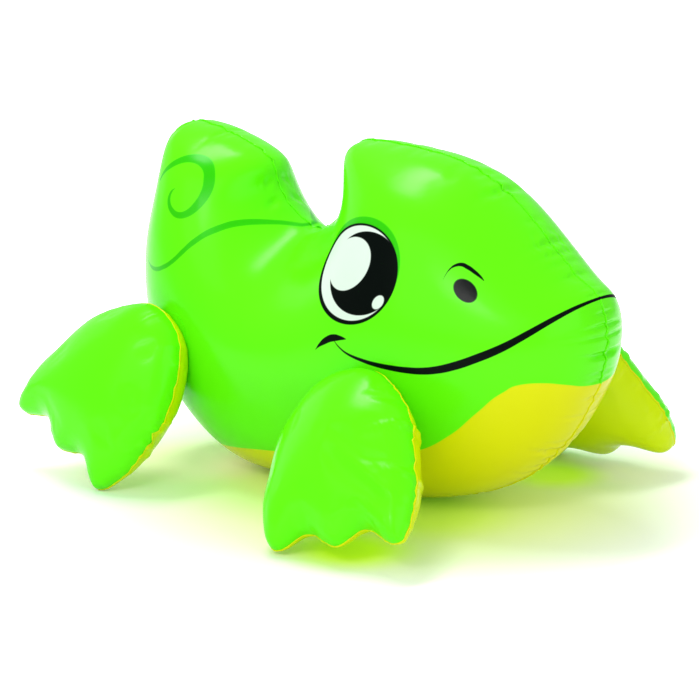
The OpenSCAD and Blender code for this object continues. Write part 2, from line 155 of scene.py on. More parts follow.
# Single folds in the right front flipper's outer film, in the same shares: start, end, depth and half width.
# A negative depth is a ridge.
FOLDS = (((0.96, 0.20), (0.58, 0.21), 0.0046, 0.0026), ((0.92, 0.55), (0.70, 0.57), 0.0020, 0.0028),
         ((0.90, 0.72), (0.44, 0.45), -0.0018, 0.0042))
# How evenly a fold fades to its end.
FOLD_FADE = 0.7

# Height of a flipper's outer film as a share of the solid's, and of its inner film as a share of that.
# The inner film is flatter at the toes by a share that depends on the side. The toes start at a share of
# the length.
OUTER_FILL = 0.95
INNER_FILL = 1.35
TOES_FLATTER = {"right": 0.8, "left": 0.1}
TOES_START = 0.6
# Gaps between a flipper and the body, and between a toe and the floor, in metres.
BODY_GAP = 0.0008
FLOOR_GAP = 0.0005
# Radius of the hole for the valve, in metres.
VALVE_HOLE = 0.0075
BEAD_SIDES = 8
SETTLE_FRAMES = 20

# The floor: half size in metres, colours, and where they change, as distance and softness in millimetres.
# Near the toy the floor's colour is a painted yellow-green light, and its glow is a painted green light that
# lightens the toy's shadow. Far off, the floor is plain and glows white as a backdrop.
FLOOR_REACH = 12.0
FLOOR_PAINTED_LIGHT, FLOOR_FAR, FLOOR_PAINTED_LIGHT_EDGE = (0.88, 0.97, 0.44), (0.93, 0.93, 0.93), (150.0, 75.0)
GLOW_PAINTED_LIGHT, GLOW_FAR, GLOW_PAINTED_LIGHT_EDGE = (0.03, 0.10, 0.0), (1.0, 1.0, 1.0), (300.0, 130.0)
# Painted light on the floor, standing for light that falls through the film and lightening the toy's shadow:
# middle and radius in millimetres, painted tint and painted glow.
PAINTED_LIGHT_SPOTS = (
    (62.0, -133.0, 34.0, (0.84, 0.97, 0.06), (0.03, 0.24, 0.0)),
    (112.0, 150.0, 38.0, (0.93, 0.96, 0.74), (0.13, 0.14, 0.12)),
    (72.0, 101.0, 30.0, (0.86, 0.97, 0.12), (0.05, 0.22, 0.0)),
    (55.0, -35.0, 48.0, (0.84, 0.97, 0.20), (0.03, 0.16, 0.0)),
    (-165.0, -30.0, 48.0, (0.93, 0.97, 0.60), (0.20, 0.17, 0.14)))
PAINTED_LIGHT_SOFTNESS = 0.6

# Lamps that look at the middle of the toy: name, direction, distance, width, depth and power.
MIDDLE = Vector((0.0, 0.0, 0.126))
LAMPS = (
    ("overhead_box", (-0.28, 0.03, 0.95), 1.35, 0.78, 0.25, 9.2),
    ("front_box", (0.10, -0.85, 0.50), 2.4, 2.4, 1.8, 13.0),
    ("front_strip", (0.24, -0.79, 0.55), 2.1, 0.6, 0.2, 5.5),
    ("nose_box", (0.90, -0.15, 0.35), 2.0, 1.6, 1.2, 9.0),
    ("tail_box", (-0.95, 0.10, 0.35), 2.0, 1.6, 1.2, 5.0))
WORLD_LIGHT = 0.56
# The camera: turn and tilt in degrees, distance in metres, then focal length, shift to the right and shift up
# in pixels of a square picture of that width.
CAMERA_TURN, CAMERA_TILT, CAMERA_AWAY = 36.0, 12.5, 1.8
FOCAL, SHIFT_RIGHT, SHIFT_UP, PICTURE = 2550.0, 43.0, 33.0, 700.0
# Width of the camera's sensor in millimetres.
SENSOR = 36.0


class FilmSizes(bpy.types.PropertyGroup):
    """Sizes of the film, its seams and its gathers."""

    film: bpy.props.FloatProperty(
        name="Film", description="Thickness of the film", default=0.0003, unit="LENGTH", precision=4)
    seam: bpy.props.FloatProperty(
        name="Seam", description="Radius of the welded edge that shows", default=0.0008, unit="LENGTH",
        precision=4)
    pitch: bpy.props.FloatProperty(
        name="Gather pitch", description="Usual distance between gathers along a seam", default=0.010,
        unit="LENGTH")
    depth: bpy.props.FloatProperty(
        name="Gather depth", description="Usual depth of a gather", default=0.0016, unit="LENGTH",
        precision=4)
    pressure: bpy.props.FloatProperty(
        name="Pressure", description="Air pressure while the film settles", default=4.0)
    give: bpy.props.FloatProperty(
        name="Give", description="Farthest that the film moves while it settles", default=0.004,
        unit="LENGTH")


class FilmColours(bpy.types.PropertyGroup):
    """Colours of the film, its print and the valve, and the yellow film with painted light through the green
    film.
    """

    green: bpy.props.FloatVectorProperty(
        name="Green", description="Green film", subtype="COLOR", default=(0.118, 0.88, 0.003), min=0, max=1)
    yellow: bpy.props.FloatVectorProperty(
        name="Yellow", description="Yellow film", subtype="COLOR", default=(0.71, 0.74, 0.0003), min=0, max=1)
    # Painted light: the yellow film's colour with the green light that comes through the outer film, used on
    # all four inner films.
    through_lit_yellow: bpy.props.FloatVectorProperty(
        name="Lime", description="Yellow film with green film behind it", subtype="COLOR",
        default=(0.61, 0.80, 0.0003), min=0, max=1)
    shade: bpy.props.FloatVectorProperty(
        name="Shade", description="Darker green of the curl and lines", subtype="COLOR",
        default=(0.028, 0.56, 0.0005), min=0, max=1)
    ink: bpy.props.FloatVectorProperty(
        name="Ink", description="Black of the face", subtype="COLOR", default=(0.002, 0.004, 0.003), min=0,
        max=1)
    white: bpy.props.FloatVectorProperty(
        name="White", description="White of the eye", subtype="COLOR", default=(0.70, 0.84, 0.73), min=0,
        max=1)
    valve: bpy.props.FloatVectorProperty(
        name="Valve", description="Soft clear vinyl", subtype="COLOR", default=(0.80, 0.88, 0.84), min=0,
        max=1)


class Value:
    """A shader value that takes part in plain arithmetic."""

    def __init__(self, finish, socket):
        self.finish = finish
        self.socket = socket

    def math(self, operation, *others):
        """A Math node's result for this value and others."""
        return self.finish.node("ShaderNodeMath", dict(enumerate((self, *others))), operation=operation)

    def __add__(self, other):
        return self.math("ADD", other)

    def __sub__(self, other):
        return self.math("SUBTRACT", other)

    def __mul__(self, other):
        return self.math("MULTIPLY", other)

    def __truediv__(self, other):
        return self.math("DIVIDE", other)

    def __rsub__(self, other):
        return self.finish.node("ShaderNodeMath", {0: other, 1: self}, operation="SUBTRACT")

    def __rtruediv__(self, other):
        return self.finish.node("ShaderNodeMath", {0: other, 1: self}, operation="DIVIDE")

    def __abs__(self):
        return self.math("ABSOLUTE")

    __radd__ = __add__
    __rmul__ = __mul__

    def within(self, soft):
        """1 where the value is above 0, with an edge of the given softness."""
        limits = {0: self, 1: -soft, 2: soft, 3: 0.0, 4: 1.0}
        return self.finish.node("ShaderNodeMapRange", limits, interpolation_type="SMOOTHSTEP")

    def curve(self, points, column):
        """The smooth line through rows of numbers, read at this value."""
        xs = [row[0] for row in points]
        ys = [row[column] for row in points]
        low, high = min(ys), max(ys)
        span = max(high - low, 1e-6)
        share = (self - xs[0]) / (xs[-1] - xs[0])
        stops = [((x - xs[0]) / (xs[-1] - xs[0]), (y - low) / span) for x, y in zip(xs, ys)]
        return self.finish.node("ShaderNodeFloatCurve", {1: share}, stops=stops) * span + low


def lead(mapping, stops):
    """Lead the line of a curve node through its stops."""
    mapping.use_clip = False
    made = mapping.curves[0].points
    made[0].location = stops[0]
    made[1].location = stops[-1]
    for stop in stops[1:-1]:
        made.new(*stop)
    mapping.update()


def between(value, low, high):
    """1 where a value lies between two numbers."""
    return value.math("GREATER_THAN", low) * value.math("LESS_THAN", high)


def ellipse(x, z, form, soft=0.35):
    """1 inside a printed ellipse."""
    cx, cz, length, width, tilt = form
    c, s = math.cos(math.radians(tilt)), math.sin(math.radians(tilt))
    along = ((x - cx) * c + (z - cz) * s) / length
    across = ((z - cz) * c - (x - cx) * s) / width
    reach = (along * along + across * across).math("SQRT")
    return ((1.0 - reach) * width).within(soft)


def line(x, z, rows, soft=0.3):
    """1 inside a printed line."""
    off = abs(z - x.curve(rows, 1))
    return (x.curve(rows, 2) * 0.5 - off).within(soft) * between(x, rows[0][0], rows[-1][0])


def curl(x, z):
    """1 inside the curl on the tail."""
    dx, dz = x - CURL_MIDDLE[0], z - CURL_MIDDLE[1]
    turn = (dz.math("ARCTAN2", dx) * (-180 / math.pi) + (CURL_START + 360.0)) / 360.0
    share = turn.math("FRACT")
    reach = (dx * dx + dz * dz).math("SQRT")
    return (share.curve(CURL, 2) * 0.5 - abs(reach - share.curve(CURL, 1))).within(0.5)


class Finish:
    """A material in the making: its coordinates, colour and surface."""

    def __init__(self, name):
        self.material = bpy.data.materials.new(name)
        self.material.use_nodes = True
        self.tree = self.material.node_tree
        self.surface = self.tree.nodes["Principled BSDF"]
        self.place = self.node("ShaderNodeTexCoord", output="Object")
        split = self.node("ShaderNodeSeparateXYZ", {0: self.place}).socket.node
        self.x, self.y, self.z = (Value(self, split.outputs[axis]) * MM for axis in "XYZ")

    def node(self, kind, inputs=None, output=0, **settings):
        """One output of a new node that gets its settings first, then its inputs' values or links."""
        made = self.tree.nodes.new(kind)
        for name, setting in settings.items():
            if name == "stops":
                lead(made.mapping, setting)
            else:
                setattr(made, name, setting)
        for name, value in (inputs or {}).items():
            if isinstance(value, Value):
                self.tree.links.new(value.socket, made.inputs[name])
            else:
                made.inputs[name].default_value = value
        return Value(self, made.outputs[output])

    def noise(self, scale, detail=2.0):
        """Soft random values over the piece."""
        return self.node("ShaderNodeTexNoise", {"Vector": self.place, "Scale": scale, "Detail": detail})

    def mix(self, share, low, high):
        """A colour between two others, which are the sockets 6 and 7 of a Mix node."""
        inputs = {0: share}
        for key, value in {6: low, 7: high}.items():
            inputs[key] = value if isinstance(value, Value) else (*value, 1.0)
        return self.node("ShaderNodeMix", inputs, output=2, data_type="RGBA")

    def into(self, name, value):
        """Give the surface's socket of that name a value or a link."""
        if isinstance(value, Value):
            self.tree.links.new(value.socket, self.surface.inputs[name])
        else:
            self.surface.inputs[name].default_value = value

    def vinyl(self, colour, roughness=FILM_ROUGHNESS):
        """Glossy soft film of a colour: faint unevenness in tone, gloss and surface."""
        tone = self.noise(TONE_FINENESS) * TONE_RANGE + (1 - TONE_RANGE / 2)
        toned = self.node(
            "ShaderNodeHueSaturation",
            {"Hue": 0.5, "Saturation": 1.0, "Value": tone, "Fac": 1.0,
             "Color": colour if isinstance(colour, Value) else (*colour, 1.0)})
        gloss = self.noise(GLOSS_FINENESS, 4.0) * GLOSS_RANGE + (roughness - GLOSS_RANGE / 2)
        height = self.noise(RIPPLE_FINENESS, 3.0)
        ripples = self.node(
            "ShaderNodeBump", {"Strength": RIPPLE_STRENGTH, "Distance": RIPPLE_HEIGHT, "Height": height})
        self.into("Base Color", toned)
        self.into("Roughness", gloss)
        self.into("Specular IOR Level", MIRROR_LEVEL)
        self.into("Normal", ripples)
        return self.material

    def matt(self, share, colour):
        """A share of the surface that has the colour and no gloss."""
        dull = self.node("ShaderNodeBsdfDiffuse", {"Color": (*colour, 1.0)})
        shiny = Value(self, self.surface.outputs[0])
        both = self.node("ShaderNodeMixShader", {0: share, 1: shiny, 2: dull})
        self.tree.links.new(both.socket, self.tree.nodes["Material Output"].inputs["Surface"])


def printed_film(colours):
    """The body's film with its whole print."""
    finish = Finish("printed_film")
    x, z = finish.x, finish.z
    colour = finish.mix((x.curve(BELLY, 1) - z).within(0.4), tuple(colours.green), tuple(colours.yellow))
    for mask in (curl(x, z), line(x, z, BACK_LINE, 0.5), ellipse(x, z, EYE_SHADE, 0.6)):
        colour = finish.mix(mask, colour, tuple(colours.shade))
    ink, white = (colours.ink, INK_MATT), (colours.white, 0.0)
    layers = (
        (ellipse(x, z, EYE), ink), (ellipse(x, z, EYE_WHITE), white),
        (ellipse(x, z, PUPIL) * ellipse(x, z, EYE), ink), (ellipse(x, z, GLINT), white),
        (ellipse(x, z, GLINT_SMALL), white), (ellipse(x, z, NOSTRIL), (colours.ink, NOSTRIL_MATT)),
        (line(x, z, BROW), ink), (line(x, z, MOUTH), ink), (line(x, z, CHEEK), ink))
    dull = x * 0.0
    for mask, (tone, share) in layers:
        colour = finish.mix(mask, colour, tuple(tone))
        dull = dull * (1.0 - mask) + mask * share
    finish.vinyl(colour)
    finish.matt(dull, colours.ink)
    return finish.material


def film_of(name, colour):
    """The film material of that name, made at its first use."""
    made = bpy.data.materials.get(name)
    return made or Finish(name).vinyl(tuple(colour))


def on_curve(points, index):
    """Places on the closed smooth curve through the given points, at whole or part indices."""
    n = len(points)
    i = np.floor(index).astype(int)
    u = (index - i)[:, None]
    a, b, c, d = (points[(i + k) % n] for k in (-1, 0, 1, 2))
    return (2 * b + (c - a) * u + (2 * a - 5 * b + 4 * c - d) * u**2 + (3 * b - a - 3 * c + d) * u**3) / 2


def rail(loop, first, last, share):
    """Places along a closed curve from one of its points to a later one, at shares of the way."""
    path = on_curve(loop, np.linspace(first, last, SIDE_STEPS * (last - first) + 1))
    way = np.concatenate([[0], np.cumsum(np.linalg.norm(np.diff(path, axis=0), axis=1))])
    return np.stack([np.interp(share * way[-1], way, path[:, k]) for k in (0, 1)], 1)


def steps(count, draw):
    """Steps from 0 to 1, drawn towards both ends by a share."""
    k = np.arange(count + 1) / count
    return (1 - draw) * k + draw * (1 - np.cos(np.pi * k)) / 2


def filled(loop, corners, columns, rows):
    """Grid of places that fills a closed curve between its four sides."""
    c = corners
    share, height = steps(columns, GRID_DRAW[0]), steps(rows, GRID_DRAW[1])
    s, v = share[:, None, None], height[None, :, None]
    top = rail(loop, c[0], c[1], share)[:, None]
    low = rail(loop, c[2], c[3], 1 - share)[:, None]
    front = rail(loop, c[1], c[2], 1 - height)[None]
    rear = rail(loop, c[3], c[0] + len(loop), height)[None]
    rear_ends = (1 - v) * low[0] + v * top[0]
    front_ends = (1 - v) * low[-1] + v * top[-1]
    return (1 - v) * low + v * top + (1 - s) * rear + s * front - (1 - s) * rear_ends - s * front_ends


def swell(places, outline):
    """Inflated half thickness over places of a flat pattern, for a fullness of 1 m, and 0 outside it."""
    out = np.zeros(len(places))
    after = np.roll(outline, -1, 0)
    length = np.linalg.norm(after - outline, axis=1)
    for start in range(0, len(places), BATCH):
        batch = slice(start, start + BATCH)
        part = places[batch, None]
        a, b = outline[None] - part, after[None] - part
        area = a[..., 0] * b[..., 1] - a[..., 1] * b[..., 0]
        area = np.where(np.abs(area) < 1e-12, 1e-12, area)
        turn = np.arctan2(area, (a * b).sum(2))
        sums = (turn * length / area).sum(1)
        out[batch] = np.where(np.abs(turn.sum(1)) > math.pi, np.sqrt(2 * math.pi / sums), 0)
    return out


def joint_named(name):
    """The frame's joint of that name."""
    return next(joint for joint in frame["joints"] if joint["name"] == name)


def node_points(name):
    """All points of a node of the frame."""
    data = frame["nodes"][name].data
    co = np.empty(len(data.vertices) * 3)
    data.vertices.foreach_get("co", co)
    return co.reshape(-1, 3)


def seam_edge(name):
    """Outer edge of a seam's flat band, once round on its middle plane, its normal and half thickness."""
    bm = bmesh.new()
    bm.from_mesh(frame["nodes"][name].data)
    bmesh.ops.remove_doubles(bm, verts=bm.verts, dist=1e-6)
    bm.normal_update()
    normal = max(bm.faces, key=lambda f: f.calc_area()).normal.copy()
    side = {f for f in bm.faces if f.normal.dot(normal) > 0.999}
    following = {}
    for f in side:
        for loop in f.loops:
            if sum(other in side for other in loop.edge.link_faces) == 1:
                following[loop.vert.index] = loop.link_loop_next.vert.index
    co = np.array([v.co for v in bm.verts])
    bm.free()
    rounds = []
    while following:
        at = next(iter(following))
        trip = []
        while at in following:
            trip.append(at)
            at = following.pop(at)
        rounds.append(co[trip])
    outer = max(rounds, key=lambda r: np.linalg.norm(r - np.roll(r, 1, 0), axis=1).sum())
    normal = np.array(normal)
    depth = co @ normal
    half = (depth.max() - depth.min()) / 2
    return outer - normal * half, normal, half


class Pillow:
    """An inflated closed form over a flat outline: two films that share the outline's seam."""

    def __init__(self, edge, seam_half, axes, corner_shares, grid):
        columns, rows = grid
        self.seam_half = seam_half
        self.origin = edge.mean(0)
        self.axes = np.array(axes)
        flat = (edge - self.origin) @ self.axes[:2].T
        span = flat.max(0) - flat.min(0)
        wanted = flat.min(0) + np.array(corner_shares) * span
        corners = [int(np.argmin(((flat - w) ** 2).sum(1))) for w in wanted]
        if sum(corners[k] > corners[(k + 1) % 4] for k in range(4)) > 1:
            flat = flat[::-1]
            corners = [len(flat) - 1 - c for c in corners]
        flat = np.roll(flat, -corners[0], 0)
        corners = [(c - corners[0]) % len(flat) for c in corners]
        self.outline = on_curve(flat, np.arange(0, len(flat), 1 / OUTLINE_STEPS))
        self.flat = filled(flat, corners, columns, rows)
        m, n = columns + 1, rows + 1
        self.index = np.arange(m * n).reshape(m, n)
        inside = np.zeros((m, n), bool)
        inside[1:-1, 1:-1] = True
        self.back = self.index.copy()
        self.back[inside] = m * n + np.arange((m - 2) * (n - 2))
        self.inside = inside
        rim = [(i, 0) for i in range(m - 1)] + [(m - 1, j) for j in range(n - 1)]
        rim += [(i, n - 1) for i in range(m - 1, 0, -1)] + [(0, j) for j in range(n - 1, 0, -1)]
        self.rim = np.array([self.index[k] for k in rim])

    def quads(self, table, turned):
        """Faces of one film's grid."""
        a, b, c, d = table[:-1, :-1], table[1:, :-1], table[1:, 1:], table[:-1, 1:]
        order = (a, d, c, b) if turned else (a, b, c, d)
        return np.stack([part.ravel() for part in order], 1)

    def faces(self):
        """Faces of both films, all pointing outwards."""
        return np.concatenate([self.quads(self.index, False), self.quads(self.back, True)])

    def raised(self, height, back=1.0):
        """Points of both films for a half thickness at every place of the grid, times a share at the back."""
        across, along, out = self.axes
        middle = self.origin + self.flat[..., :1] * across + self.flat[..., 1:] * along
        height = np.where(self.inside, height, 0)[..., None]
        front = (middle + height * out).reshape(-1, 3)
        return np.concatenate([front, (middle - back * height * out)[self.inside]])

    def thickness(self):
        """Inflated half thickness at every place of the grid, for a fullness of 1 m."""
        return swell(self.flat.reshape(-1, 2), self.outline).reshape(self.flat.shape[:2])

    def places(self):
        """Place of every point on the flat pattern."""
        return np.concatenate([self.flat.reshape(-1, 2), self.flat[self.inside]])

    def seam_places(self):
        """For every point: the way along the seam to its nearest place on it, and the distance from there."""
        flat = self.places()
        lengths = np.linalg.norm(np.roll(self.outline, -1, 0) - self.outline, axis=1)
        way = np.concatenate([[0], np.cumsum(lengths)])
        near, far = np.zeros(len(flat)), np.full(len(flat), np.inf)
        for start in range(0, len(flat), BATCH):
            batch = slice(start, start + BATCH)
            part = flat[batch]
            k = ((part[:, None] - self.outline[None]) ** 2).sum(2).argmin(1)
            before = (k - 1) % len(lengths)
            a, b, c = self.outline[before], self.outline[k], self.outline[(k + 1) % len(lengths)]
            for first, last, index in ((a, b, before), (b, c, k)):
                share = np.clip(((part - first) * (last - first)).sum(1) / lengths[index] ** 2, 0, 1)
                off = np.linalg.norm(part - first - share[:, None] * (last - first), axis=1)
                better = off < far[batch]
                near[batch][better] = (way[index] + share * lengths[index])[better]
                far[batch][better] = off[better]
        return near, far, way[-1]


def normals_of(points, faces):
    """Outward normal at every point of a closed form of quads."""
    a, b, c, d = (points[faces[:, k]] for k in range(4))
    raw = np.cross(c - a, d - b)
    out = np.zeros_like(points)
    for k in range(4):
        np.add.at(out, faces[:, k], raw)
    return out / np.maximum(np.linalg.norm(out, axis=1), 1e-12)[:, None]


def waves(place, around, pitch, seed, spread=0.5):
    """Uneven waves round a closed seam, with about the given pitch and a height near 1."""
    rng = np.random.default_rng(seed)
    middle = around / pitch
    out = np.zeros_like(place)
    for count in np.unique(np.round(middle * rng.uniform(1 - spread, 1 + spread, WAVES))):
        out += np.cos(2 * math.pi * (count * place / around + rng.random())) * rng.uniform(0.5, 1)
    return out / max(out.std(), 1e-9)


def strength_near(pillow, rows):
    """How strongly the seam is gathered at every point, from the strengths at a few places."""
    rows = np.array(rows)
    low, high = pillow.outline.min(0), pillow.outline.max(0)
    share = (pillow.places() - low) / (high - low)
    weight = 1 / (((share[:, None] - rows[None, :, :2]) ** 2).sum(2) + 1e-4) ** 2
    return (weight * rows[:, 2]).sum(1) / weight.sum(1)


def gathered(pillow, points, sizes, seed, rows):
    """Points with gathers pressed in across the seam: short creases of uneven depth and length."""
    near, far, around = pillow.seam_places()
    out = normals_of(points, pillow.faces())
    height = np.abs((points - pillow.origin) @ pillow.axes[2])
    arc = np.hypot(far, height)

    def varied(number, usual, unevenness, least, most, pitches):
        """A share that varies along the seam."""
        uneven = waves(near, around, sizes.pitch * pitches, seed + number)
        return np.clip(usual + unevenness * uneven, least, most)

    crease = waves(near, around, sizes.pitch, seed) - CREASE_START
    crease = np.clip(crease, 0, CREASE_MOST) ** CREASE_SHARPNESS
    strength = strength_near(pillow, rows) * varied(1, *DEPTH_VARIES)
    reach = sizes.pitch * varied(2, *LENGTH_VARIES)
    fall = (arc / reach * np.exp(1 - arc / reach)) ** FALL_SHARPNESS
    moved = points - out * (sizes.depth * crease * strength * fall)[:, None]
    rim = pillow.rim
    sway = waves(near[rim], around, sizes.pitch * SEAM_PITCH, seed + 3)
    side = sway * strength[rim] * sizes.depth * SEAM_SIDEWAYS
    inwards = crease[rim] * strength[rim] * sizes.depth * SEAM_INWARDS
    moved[rim] += side[:, None] * pillow.axes[2] - inwards[:, None] * out[rim]
    return moved


def folded(pillow, points, folds):
    """Points with single folds in the outer film, each deepest at its start."""
    low, high = pillow.outline.min(0), pillow.outline.max(0)
    flat = pillow.flat.reshape(-1, 2)
    moved = points.copy()
    for start, end, depth, width in folds:
        a, b = low + np.array(start) * (high - low), low + np.array(end) * (high - low)
        share = np.clip((flat - a) @ (b - a) / ((b - a) @ (b - a)), 0, 1)
        off = np.linalg.norm(flat - a - share[:, None] * (b - a), axis=1)
        press = depth * (1 - share) ** FOLD_FADE * np.exp(-((off / width) ** 2))
        moved[:len(flat)] -= press[:, None] * pillow.axes[2]
    return moved


def mesh_of(name, points, faces):
    """A new mesh of points and faces."""
    data = bpy.data.meshes.new(name)
    data.from_pydata(points.tolist(), [], faces.tolist())
    data.update()
    return data


def shown(name, data, material):
    """A new object in the scene, smooth and of one material."""
    piece = bpy.data.objects.new(name, data)
    bpy.context.scene.collection.objects.link(piece)
    data.materials.clear()
    data.materials.append(material)
    data.polygons.foreach_set("use_smooth", np.ones(len(data.polygons), bool))
    return piece


def plain(piece):
    """The piece with its modifiers made part of its mesh."""
    bpy.context.view_layer.update()
    made = bpy.data.meshes.new_from_object(piece.evaluated_get(bpy.context.evaluated_depsgraph_get()))
    piece.modifiers.clear()
    old, piece.data = piece.data, made
    made.name = piece.name
    bpy.data.meshes.remove(old)
    return piece


def settled(points, faces, held, sizes):
    """Points of a closed film after its air has pushed it out, with some points held."""
    piece = bpy.data.objects.new("film_settling", mesh_of("film_settling", points, faces))
    bpy.context.scene.collection.objects.link(piece)
    piece.vertex_groups.new(name="held").add([int(k) for k in held], 1.0, "REPLACE")
    cloth = piece.modifiers.new("film", "CLOTH")
    cloth.collision_settings.use_collision = False
    cloth.point_cache.frame_start, cloth.point_cache.frame_end = 1, SETTLE_FRAMES
    film = cloth.settings
    film.vertex_group_mass = "held"
    film.pin_stiffness = 1.0
    film.use_pressure = True
    film.uniform_pressure_force = sizes.pressure
    film.effector_weights.gravity = 0.0
    film.quality = 6
    film.mass = 0.3
    film.tension_stiffness = film.compression_stiffness = 30.0
    film.shear_stiffness = 15.0
    film.bending_stiffness = 0.5
    scene = bpy.context.scene
    for number in range(1, SETTLE_FRAMES + 1):
        scene.frame_set(number)
    done = np.empty(len(points) * 3)
    piece.evaluated_get(bpy.context.evaluated_depsgraph_get()).data.vertices.foreach_get("co", done)
    scene.frame_set(1)
    old = piece.data
    bpy.data.objects.remove(piece)
    bpy.data.meshes.remove(old)
    step = done.reshape(-1, 3) - points
    far = np.linalg.norm(step, axis=1)
    return points + step * (sizes.give * np.tanh(far / sizes.give) / np.maximum(far, 1e-9))[:, None]


def film_piece(name, points, faces, material, film, hole=None):
    """One film as a closed piece: its grid, finer and with the film's thickness inwards."""
    if hole is not None:
        middle, way, radius = hole
        off = points[faces].mean(1) - middle
        along = off @ way
        faces = faces[np.linalg.norm(off - along[:, None] * way, axis=1) > radius]
    used, numbers = np.unique(faces, return_inverse=True)
    piece = shown(name, mesh_of(name, points[used], numbers.reshape(-1, 4)), material)
    finer = piece.modifiers.new("finer", "SUBSURF")
    finer.levels = finer.render_levels = 1
    finer.boundary_smooth = "PRESERVE_CORNERS"
    wall = piece.modifiers.new("wall", "SOLIDIFY")
    wall.thickness = film
    wall.offset = -1.0
    plain(piece)
    piece.data.polygons.foreach_set("use_smooth", np.ones(len(piece.data.polygons), bool))
    return piece


def body_width(pillow):
    """Half width of the body over any places of its side view, as in the solids."""
    x, z, reach_x, reach_z, share = NOTCH
    low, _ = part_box("body_panel_right")

    def raw(places):
        fill = 1 - share * np.exp(-((places[:, 0] - x) / reach_x) ** 2 - ((places[:, 1] - z) / reach_z) ** 2)
        return swell(places - pillow.origin[[0, 2]], pillow.outline) * np.sqrt(fill)

    scale = (-low.y - pillow.seam_half) / raw(pillow.flat.reshape(-1, 2) + pillow.origin[[0, 2]]).max()
    return lambda places: raw(places) * scale


def body_pillow(grid):
    """The body's form on the middle plane, with its right film in front."""
    edge, _, half = seam_edge("body_seam")
    return Pillow(edge, half, ((1, 0, 0), (0, 0, 1), (0, -1, 0)), BODY_CORNERS, grid)


def flipper_pillow(place):
    """The flipper's form on its own plane, with its root up and its outer film in front."""
    edge, normal, half = seam_edge(f"{place}_seam")
    joint = joint_named(f"{place}_flipper_flap")
    outward = normal if normal[1] * (-1 if "right" in place else 1) > 0 else -normal
    along = edge.mean(0) - np.array(joint["pos_m"])
    along -= outward * (along @ outward)
    along /= np.linalg.norm(along)
    axes = (np.cross(along, outward), along, outward)
    return Pillow(edge, half, axes, FLIPPER_CORNERS, FLIPPER_GRID)


def seam_bead(name, points, radius, material):
    """A round bead along a closed path, swept by geometry nodes and made a plain mesh."""
    k = np.arange(len(points))
    data = bpy.data.meshes.new(name)
    data.from_pydata(points.tolist(), np.stack([k, (k + 1) % len(points)], 1).tolist(), [])
    group = bpy.data.node_groups.new(f"{name}_bead", "GeometryNodeTree")
    group.interface.new_socket("Path", in_out="INPUT", socket_type="NodeSocketGeometry")
    sizes = {}
    kinds = {"Radius": "NodeSocketFloat", "Sides": "NodeSocketInt", "Finish": "NodeSocketMaterial"}
    for label, kind in kinds.items():
        sizes[label] = group.interface.new_socket(label, in_out="INPUT", socket_type=kind).identifier
    group.interface.new_socket("Bead", in_out="OUTPUT", socket_type="NodeSocketGeometry")
    nodes, join = group.nodes, group.links.new
    given, result = nodes.new("NodeGroupInput"), nodes.new("NodeGroupOutput")
    path = nodes.new("GeometryNodeMeshToCurve")
    ring = nodes.new("GeometryNodeCurvePrimitiveCircle")
    swept = nodes.new("GeometryNodeCurveToMesh")
    whole = nodes.new("GeometryNodeRealizeInstances")
    finish = nodes.new("GeometryNodeSetMaterial")
    join(given.outputs["Path"], path.inputs["Mesh"])
    join(given.outputs["Sides"], ring.inputs["Resolution"])
    join(given.outputs["Radius"], ring.inputs["Radius"])
    join(path.outputs[0], swept.inputs["Curve"])
    join(ring.outputs[0], swept.inputs["Profile Curve"])
    join(swept.outputs[0], whole.inputs[0])
    join(whole.outputs[0], finish.inputs["Geometry"])
    join(given.outputs["Finish"], finish.inputs["Material"])
    join(finish.outputs[0], result.inputs["Bead"])
    piece = bpy.data.objects.new(name, data)
    bpy.context.scene.collection.objects.link(piece)
    sweep = piece.modifiers.new("bead", "NODES")
    sweep.node_group = group
    for label, value in (("Radius", radius), ("Sides", BEAD_SIDES), ("Finish", material)):
        sweep[sizes[label]] = value
    plain(piece)
    bm = bmesh.new()
    bm.from_mesh(piece.data)
    bmesh.ops.recalc_face_normals(bm, faces=bm.faces)
    bm.to_mesh(piece.data)
    bm.free()
    piece.data.polygons.foreach_set("use_smooth", np.ones(len(piece.data.polygons), bool))
    return piece


class TOY_OT_body(bpy.types.Operator):
    """Make the body's two printed films and their seam"""

    bl_idname = "toy.body"
    bl_label = "Body films"

    def execute(self, context):
        sizes, colours = context.scene.toy_sizes, context.scene.toy_colours
        pillow = body_pillow(BODY_GRID)
        width = body_width(pillow)
        flat = pillow.flat.reshape(-1, 2) + pillow.origin[[0, 2]]
        smooth = pillow.raised(width(flat).reshape(pillow.flat.shape[:2]))
        points = gathered(pillow, smooth, sizes, BODY_SEED, BODY_GATHERS)
        points = settled(points, pillow.faces(), pillow.rim, sizes)
        points[:, 2] = np.maximum(points[:, 2], 0)
        material = printed_film(colours)
        low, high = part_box("valve_base")
        valve = np.array((low + high) / 2)
        way = np.array(joint_named("valve_stem_slide")["axis"])
        for side, table, turned, sign in (("right", pillow.index, False, -1), ("left", pillow.back, True, 1)):
            moved = points.copy()
            moved[table.ravel(), 1] += sign * pillow.seam_half
            hole = (valve, way, VALVE_HOLE) if side == "left" else None
            faces = pillow.quads(table, turned)
            piece = film_piece(f"body_film_{side}", moved, faces, material, sizes.film, hole)
            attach(piece, "body")
            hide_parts(f"body_panel_{side}")
        path = points[pillow.rim]
        path[:, 2] = np.maximum(path[:, 2], sizes.seam)
        bead = seam_bead("body_seam_bead", path, sizes.seam, material)
        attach(bead, "body")
        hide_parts("body_seam")
        return {"FINISHED"}


